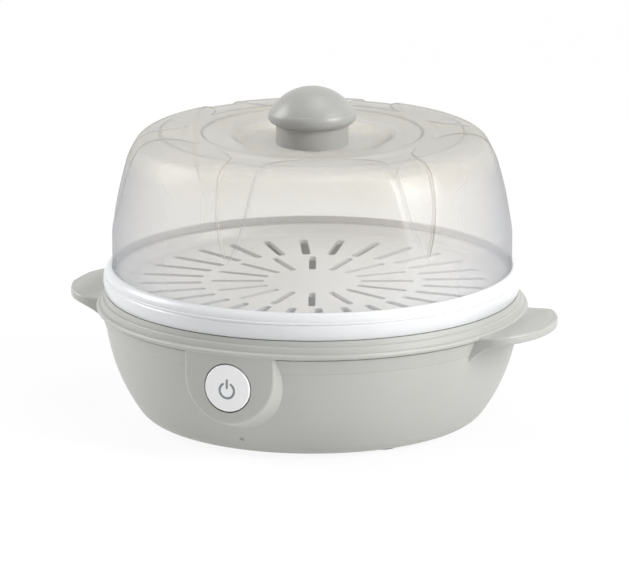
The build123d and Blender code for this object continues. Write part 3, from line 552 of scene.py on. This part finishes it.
def flute_half_angles(radius, height):
    """Half the angle that a flute takes up at each row, in radians.

    On the wall it widens along FLUTE_SIDE_ARC, then straight to FLUTE_HALF at FLUTE_TURN. On top
    it keeps FLUTE_HALF, then flares on a circle of FLARE_R to FLARE_DEG at FLUTE_END_R.
    """
    side = arc_points(*FLUTE_SIDE_ARC)
    side = np.concatenate([side, [[FLUTE_HALF, FLUTE_TURN], [FLUTE_HALF, ABOVE_LID]]])
    half = np.interp(height, side[:, 1], side[:, 0], left=0.0)
    wall = np.arcsin(np.clip(np.maximum(half, LEAST_HALF) / radius, 0, 1))
    end = math.radians(FLARE_DEG)
    end_x, end_y = FLUTE_END_R * math.sin(end), FLUTE_END_R * math.cos(end)
    centre_x = FLUTE_HALF + FLARE_R
    centre_y = end_y + math.sqrt(FLARE_R ** 2 - (centre_x - end_x) ** 2)
    first = math.atan2(end_y - centre_y, end_x - centre_x) % (2 * math.pi)
    sweep = np.linspace(first, math.pi, FLARE_POINTS)
    x, y = centre_x + FLARE_R * np.cos(sweep), centre_y + FLARE_R * np.sin(sweep)
    order = np.argsort(np.hypot(x, y))
    flare = np.interp(radius, np.hypot(x, y)[order], np.arctan2(x, y)[order])
    straight = np.arcsin(np.clip(FLUTE_HALF / radius, 0, 1))
    top = np.where(radius < math.hypot(FLUTE_HALF, centre_y), flare, straight)
    return np.where(height < FLUTE_TURN, wall, top)


def lid_dome(material):
    """A half-section turned about Z, sunk by FLUTE_DEPTH along its normal in six flutes.

    The columns follow the flutes' edges: angle = H w + E e + S, with w the flute's half angle and
    e the half angle of its edge at that row, and H, E and S one number each a column. The depth
    eases in across each edge and at the inner end, and grows with the width above the tip.
    """
    outer = softened(evened(section(*LID_SECTION)), OUTER_BELL)
    inner = softened(outer - LID_WALL * outward(outer), INNER_BELL)
    keep = thinned(outer, *OUTER_ROWS)
    keep_in = thinned(outer, *INNER_ROWS)[::-1]
    profile = np.concatenate([outer[keep], inner[keep_in]])
    normal = np.concatenate([outward(outer)[keep], outward(inner)[keep_in]])
    radius, height = profile.T

    half = flute_half_angles(radius, height)
    edge = np.minimum(EDGE_HALF / radius, 0.5 * half)
    reach = np.clip(half * radius / FULL_DEPTH_HALF, 0, 1) * (height > FLUTE_TIP)
    inward = np.clip((radius - FLUTE_END_R + EDGE_HALF) / (2 * EDGE_HALF), 0, 1)
    depth = FLUTE_DEPTH * reach * eased(inward)

    floor = np.linspace(-1, 1, FLOOR_COLUMNS, endpoint=False)
    across = np.linspace(0, 1, EDGE_COLUMNS, endpoint=False)
    land = np.linspace(0, 1, LAND_COLUMNS, endpoint=False)
    edge_ones = np.ones(EDGE_COLUMNS)
    turn = 2 * math.pi / FLUTES
    by_half = np.concatenate([floor, edge_ones, 1 - 2 * land, -edge_ones])
    by_edge = np.concatenate([-floor, 2 * across - 1, 1 - 2 * land, 2 * across - 1])
    start = np.concatenate([
        np.zeros(FLOOR_COLUMNS + EDGE_COLUMNS), turn * land, turn * edge_ones])
    sunk = np.concatenate([
        np.ones(FLOOR_COLUMNS), 1 - eased(across), np.zeros(LAND_COLUMNS), eased(across)])
    sector = half[:, None] * by_half + edge[:, None] * by_edge + start
    angle = np.concatenate([sector + k * turn + LID_TURN for k in range(FLUTES)], 1)

    sink = depth[:, None] * np.tile(sunk, FLUTES)
    r = radius[:, None] - sink * normal[:, :1]
    z = height[:, None] - sink * normal[:, 1:]
    points = np.stack([r * np.sin(angle), -r * np.cos(angle), z], -1) * MM

    bend = np.concatenate([bend_of(outer)[keep], bend_of(inner)[keep_in]])
    ridge = 4 * RIDGE_MARK * sunk * (1 - sunk)
    dense = np.maximum(bend[:, None], np.tile(ridge, FLUTES) * (depth / FLUTE_DEPTH)[:, None])
    wall = np.concatenate([np.zeros(len(keep)), np.ones(len(keep_in))])
    marks = {"dense": dense, "inside": np.repeat(wall[:, None], angle.shape[1], 1)}
    dome = surface("lid_shell", points, "lid", material, marks=marks)
    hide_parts("lid_dome")


# Handle tops: a soft crown over each flat tongue, in millimetres

HANDLE_REACH = 130.0
HANDLE_HALF = 34.0
HANDLE_TIP_R = 48.0
HANDLE_CORNER = 15.0
TONGUE_RISE_ARC = ((107.5, 58.8), (111.9, 59.1), (118.0, 60.1))
CROWN_START = 108.6
# Heights that the crown's middle line goes through: distance out, height, slope
CROWN_KNOTS = np.array((
    (CROWN_START, 58.86, 0.1), (113.0, 59.42, 0.16), (118.0, 60.2, 0.11), (122.0, 60.42, 0.0),
    (130.0, 60.2, -0.04),
))
# The skin begins CROWN_LEAD inside the start and rises over CROWN_RUN_IN past it; at the plan's
# edge it stays CROWN_INSET in and rises over CROWN_FADE
CROWN_LEAD = 0.6
CROWN_RUN_IN = 2.0
CROWN_INSET = 1.0
CROWN_FADE = 4.0
CROWN_TUCK = 0.15
CROWN_DEPTH = 1.2
CROWN_ROWS = 40
CROWN_COLUMNS = 60
OUTLINE_POINTS = 800


def handle_width(x):
    """Half width of the tongue's plan at x: straight sides, the corner circle, the tip circle."""
    tip_centre = HANDLE_REACH - HANDLE_TIP_R
    corner_y = HANDLE_HALF - HANDLE_CORNER
    corner_x = tip_centre + math.sqrt((HANDLE_TIP_R - HANDLE_CORNER) ** 2 - corner_y ** 2)
    past_corner = np.clip(x - corner_x, 0, None)
    corner = corner_y + np.sqrt(np.clip(HANDLE_CORNER ** 2 - past_corner ** 2, 0, None))
    tip = np.sqrt(np.clip(HANDLE_TIP_R ** 2 - (x - tip_centre) ** 2, 0, None))
    meet = tip_centre + (corner_x - tip_centre) * HANDLE_TIP_R / (HANDLE_TIP_R - HANDLE_CORNER)
    return np.where(x < corner_x, HANDLE_HALF, np.where(x < meet, corner, tip))


def tongue_height(x):
    """Height of the CAD tongue's top at x: level, then a hollow arc up, then level."""
    arc = arc_points(*TONGUE_RISE_ARC)
    return np.interp(x, arc[:, 0], arc[:, 1])


def crown_height(x):
    """Smooth line a little above the tongue: a cubic between each two knots, by their slopes."""
    at = np.clip(np.searchsorted(CROWN_KNOTS[:, 0], x) - 1, 0, len(CROWN_KNOTS) - 2)
    (x0, z0, s0), (x1, z1, s1) = CROWN_KNOTS[at].T, CROWN_KNOTS[at + 1].T
    run = x1 - x0
    t = np.clip((x - x0) / run, 0, 1)
    bend = (2 * t ** 3 - 3 * t ** 2 + 1) * z0 + (3 * t ** 2 - 2 * t ** 3) * z1
    return bend + run * ((t ** 3 - 2 * t ** 2 + t) * s0 + (t ** 3 - t ** 2) * s1)


def handle_crown(name, material, side):
    """Lens-like skin on a tongue: z = tongue + (crown - tongue) F - CROWN_TUCK (1 - F).

    F rises smoothly from the plan's edge and from CROWN_START. The underside lies CROWN_DEPTH
    below the tongue's top, inside it, and both ends close on a point.
    """
    span = HANDLE_REACH - CROWN_INSET
    lean_out = np.sin(np.linspace(0, math.pi / 2, CROWN_ROWS))
    x = CROWN_START - CROWN_LEAD + (span - CROWN_START + CROWN_LEAD) * lean_out
    outline = np.linspace(CROWN_START - CROWN_RUN_IN, HANDLE_REACH, OUTLINE_POINTS)
    edge = np.stack([outline, handle_width(outline)], -1)
    half = np.interp(x, outline, handle_width(outline)) - CROWN_INSET
    half[-1] = 0
    lean = np.sin(np.linspace(-math.pi / 2, math.pi / 2, CROWN_COLUMNS))
    y = half[:, None] * lean
    gap = np.hypot(x[:, None, None] - edge[:, 0], np.abs(y)[..., None] - edge[:, 1]).min(-1)
    from_edge = np.clip((gap - CROWN_INSET) / CROWN_FADE, 0, 1)
    from_start = np.clip((x[:, None] - CROWN_START) / CROWN_RUN_IN, 0, 1)
    fade = eased(from_edge * from_start)
    base = tongue_height(x)[:, None]
    top = base + (crown_height(x)[:, None] - base) * fade - CROWN_TUCK * (1 - fade)
    under = np.broadcast_to(base - CROWN_DEPTH, top.shape)
    loop_y = np.concatenate([y, y[:, -2:0:-1]], 1)
    loop_z = np.concatenate([top, under[:, -2:0:-1]], 1)
    grid = np.stack([np.broadcast_to(x[:, None], loop_y.shape), loop_y, loop_z], -1)
    one_row = (1,) + grid.shape[1:]
    cap = np.broadcast_to((x[0], 0, base[0, 0] - CROWN_DEPTH / 2), one_row)
    tip = np.broadcast_to(grid[-1:].mean(1, keepdims=True), one_row)
    grid = np.concatenate([cap, grid[:-1], tip])
    piece = surface(name, grid * (side, side, 1) * MM, "base", material, closed_rows=False)


# Button's return spring, in millimetres

SPRING_WIRE = 0.35
SPRING_TURNS = 6
STEPS_PER_TURN = 24
WIRE_SIDES = 12


def return_spring(material):
    """Round wire of radius wire along a helix about Y: (R cos t, back - wire - rise t, R sin t).

    Its ends close on their centres.
    """
    low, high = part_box("button_spring")
    wire = SPRING_WIRE * MM
    radius = (high.x - low.x) / 2 - wire
    end = 2 * math.pi * SPRING_TURNS
    rise = (high.y - low.y - 2 * wire) / end
    t = np.linspace(0, end, STEPS_PER_TURN * SPRING_TURNS + 1)
    u = np.linspace(0, 2 * math.pi, WIRE_SIDES, endpoint=False)[:, None]
    cos, sin, none = np.cos(t), np.sin(t), np.zeros(len(t))
    middle = (low.z + high.z) / 2
    centre = np.stack([radius * cos, high.y - wire - rise * t, middle + radius * sin], -1)
    inward = np.stack([-cos, none, -sin], -1)
    along = np.stack([-radius * sin, none - rise, radius * cos], -1)
    along /= np.linalg.norm(along, axis=1)[:, None]
    across = np.cross(along, inward)
    tube = centre[:, None] + wire * (np.cos(u) * inward[:, None] + np.sin(u) * across[:, None])
    caps = np.repeat(centre[[0, -1], None], len(u), 1)
    points = np.concatenate([caps[:1], tube, caps[1:]])
    piece = surface("return_spring", points, "base", material, closed_rows=False)
    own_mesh(piece)
    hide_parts("button_spring")


place_camera()
add_floor()
add_light()

# The numbers after a moulded material's two tones are its roughness, the size of its grit and the
# grit's relief in millimetres, and the size of its patches where they aren't 45 mm.
# A metal's are its roughness and the size of its marks.

# Housing and knob: satin ABS, so light spreads softly and no grain shows at arm's length
housing_abs = moulded("satin_abs_housing", "#b0b1ac", "#adaea9", 0.42, 0.5, 0.05)
dress(housing_abs, "outer_housing")
dress(moulded("satin_abs_knob", "#9f9f9c", "#9c9c99", 0.36, 0.5, 0.05), "lid_knob")
# Basin, tray and button: glossier mould, so they catch a clear soft highlight
dress(moulded("semi_gloss_grey_polypropylene", "#cccdc9", "#c8c9c5", 0.3, 0.8, 0.03),
      "water_basin")
dress(moulded("semi_gloss_white_polypropylene", "#dcdddf", "#d9dadc", 0.3, 0.8, 0.03),
      "steam_tray")
dress(moulded("semi_gloss_white_abs", "#f0f0f1", "#eeeeef", 0.28, 0.8, 0.03), "button_cap")
# Ink on the button: flat grey with a dull film
dress(moulded("pad_printed_grey_ink", "#85888b", "#808386", 0.55, 0.2, 0.02, 6), "power_symbol")
# Cover under the base: coarse spark-eroded texture that reads as matt
dress(moulded("textured_abs_cover", "#b3b4b0", "#aeafab", 0.6, 1.2, 0.12), "bottom_cover")
# Rubber, soft PVC and silicone: almost no shine, and small patches like a dusty bloom
dress(moulded("matt_rubber_foot", "#8b8a89", "#838281", 0.85, 0.4, 0.05, 8), "rubber_feet")
dress(moulded("matt_pvc_gland", "#9fa09c", "#989995", 0.75, 0.4, 0.05, 8), "cord_gland")
dress(moulded("matt_silicone_seal", "#cc6b4d", "#c26448", 0.7, 0.4, 0.03, 10),
      "plate_gasket", "knob_washer")
dress(moulded("silicone_insulation", "#dcd7cc", "#d4cfc4", 0.6, 0.4, 0.02, 12),
      "supply_leads", "heater_leads", "switch_lead")
# Metals: the plate's brushing draws its shine out along X, the zinc of the fixings is duller, the
# drawn spring wire is brightest, and the casting and the coil's sheath only shimmer
dress(metal("brushed_stainless_plate", "#b4b5b7", 0.3, 1.5, (0.05, 1, 1)), "heating_plate")
dress(metal("zinc_plated_steel", "#a3a5a8", 0.38, 2),
      "clamp_ring", "clamp_screws", "fuse_clip", "spreader_screws", "housing_screws",
      "board_screws", "guide_screws", "switch_board_screws", "knob_screw")
spring_wire = metal("bright_spring_wire", "#97999c", 0.22, 1)
dress(metal("cast_aluminium", "#bcbec1", 0.5, 1), "heat_spreader")
dress(metal("drawn_tube_sheath", "#aaacb0", 0.45, 1.2), "heater_coil")
# Ceramic, phenolic and resin: dry surfaces, matt or dull, with fine speckle
dress(moulded("unglazed_ceramic", "#e6e1d4", "#dcd6c8", 0.75, 0.3, 0.04, 2), "heater_terminals")
dress(moulded("matt_phenolic", "#40342c", "#382d26", 0.65, 0.4, 0.03, 3), "thermostat")
dress(moulded("resin_sealed_fuse", "#ccb873", "#c0ac68", 0.5, 0.4, 0.02, 3), "thermal_fuse")
# Nylon: undyed and waxy, with a low broad sheen
dress(moulded("natural_nylon", "#cccdc4", "#c2c3ba", 0.45, 0.6, 0.03, 9),
      "board_connector", "terminal_block", "button_guide")
# Electronics: brown paper laminate with a dull speckle, blue and black cases with a soft sheen, a
# glossy sleeve and a glossy pale lens
dress(moulded("paper_laminate", "#9e8047", "#8d713d", 0.55, 0.3, 0.02, 1.5),
      "control_board", "switch_board")
dress(moulded("moulded_blue_case", "#1a386b", "#16305e", 0.4, 0.6, 0.02, 9), "relay")
dress(moulded("moulded_black_case", "#18181a", "#131315", 0.45, 0.6, 0.02, 9),
      "power_module", "tact_switch")
dress(moulded("shrink_sleeve", "#1f2133", "#1a1c2c", 0.25, 0.6, 0.01, 9), "smoothing_capacitor")
dress(moulded("clear_lamp_lens", "#bfe0f2", "#b6d8ea", 0.12, 0.6, 0.01, 3), "indicator_led")
# Lid: frosted polypropylene, so what is behind shows pale through it and the edges read milky
lid_dome(frosted_polypropylene())
return_spring(spring_wire)
handle_crown("handle_crown_right", housing_abs, 1)
handle_crown("handle_crown_left", housing_abs, -1)

bpy.context.scene.view_settings.view_transform = "Standard"
